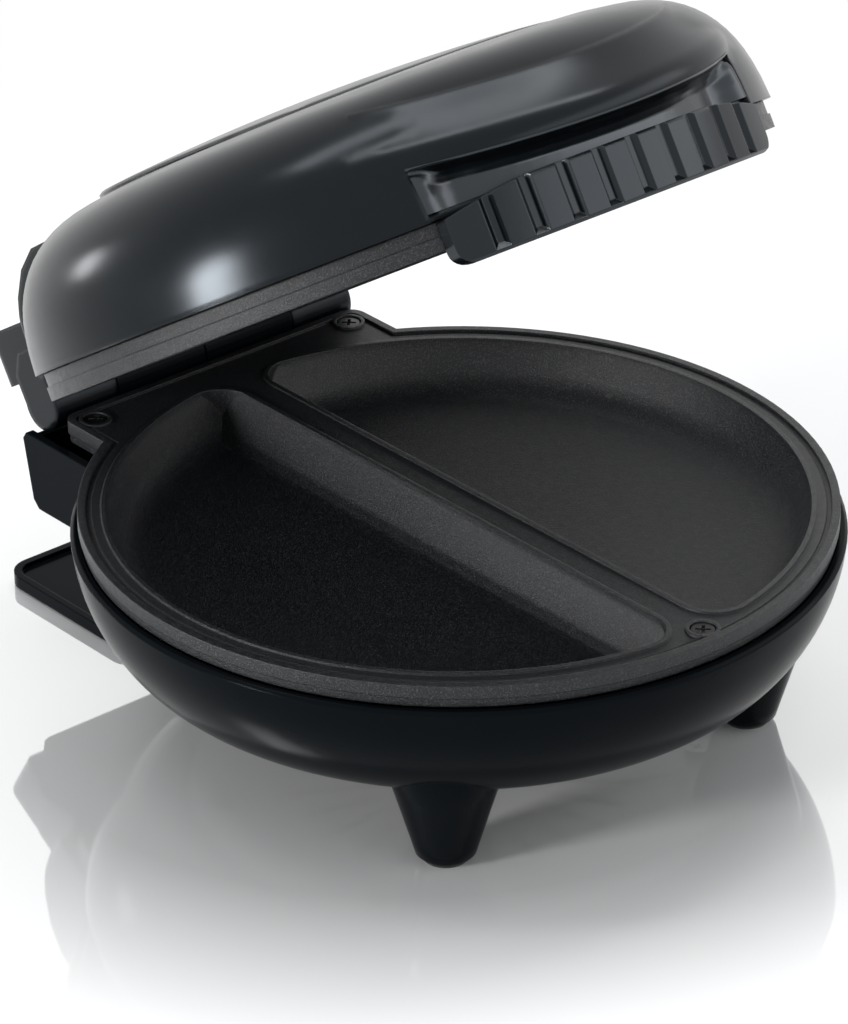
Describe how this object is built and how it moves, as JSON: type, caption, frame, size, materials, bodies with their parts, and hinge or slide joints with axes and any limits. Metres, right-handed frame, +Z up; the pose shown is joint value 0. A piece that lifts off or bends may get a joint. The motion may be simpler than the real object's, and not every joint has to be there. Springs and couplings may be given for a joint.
{
  "type": "electric omelette maker",
  "caption": "Electric omelette maker with a round footed base, a hinged domed lid with a ribbed grip, and cooking plates with two half-round wells.",
  "frame": {"origin": "middle of the object's box at the table, with the lid open as in the picture", "axes": "+X to the right, -Y to the front where the grip is, +Z up"},
  "size_m": [0.2184, 0.2623, 0.2184],
  "materials": {
    "gloss_black": "glossy black moulded plastic",
    "cover_black": "matt black moulded plastic",
    "plate_coating": "cast aluminium with a dark grey non-stick coating",
    "screw_steel": "dark plated steel",
    "bright_steel": "plain steel",
    "shield_sheet": "galvanised sheet",
    "heater_sheath": "heat-tinted steel sheath",
    "pad_rubber": "black rubber",
    "block_ceramic": "glazed off-white",
    "lens_red": "translucent red plastic",
    "lamp_glass": "clear glass"
  },
  "bodies": {
    "base": {"base_housing": "gloss_black", "base_cover": "cover_black", "cover_screws": "screw_steel", "rear_foot": "gloss_black", "rear_foot_screws": "screw_steel", "foot_pads": "pad_rubber", "lower_plate": "plate_coating", "lower_plate_screws": "screw_steel", "lower_heater": "heater_sheath", "lower_heat_shield": "shield_sheet", "lower_thermostat": "bright_steel", "thermal_fuse": "bright_steel", "terminal_block": "block_ceramic", "cord_gland": "pad_rubber", "hinge_pins": "bright_steel"},
    "lid": {"lid_housing": "gloss_black", "lid_grip": "gloss_black", "upper_plate": "plate_coating", "upper_plate_screws": "screw_steel", "upper_heater": "heater_sheath", "upper_heat_shield": "shield_sheet", "upper_thermostat": "bright_steel", "lamp_lenses": "lens_red", "indicator_lamps": "lamp_glass"}
  },
  "joints": [
    {"name": "lid_hinge", "type": "hinge", "parent": "base", "child": "lid", "pos_m": [0, 0.09864, 0.0682], "axis": [-1, 0, 0], "range_deg": [-32.5, 67.5]}
  ]
}
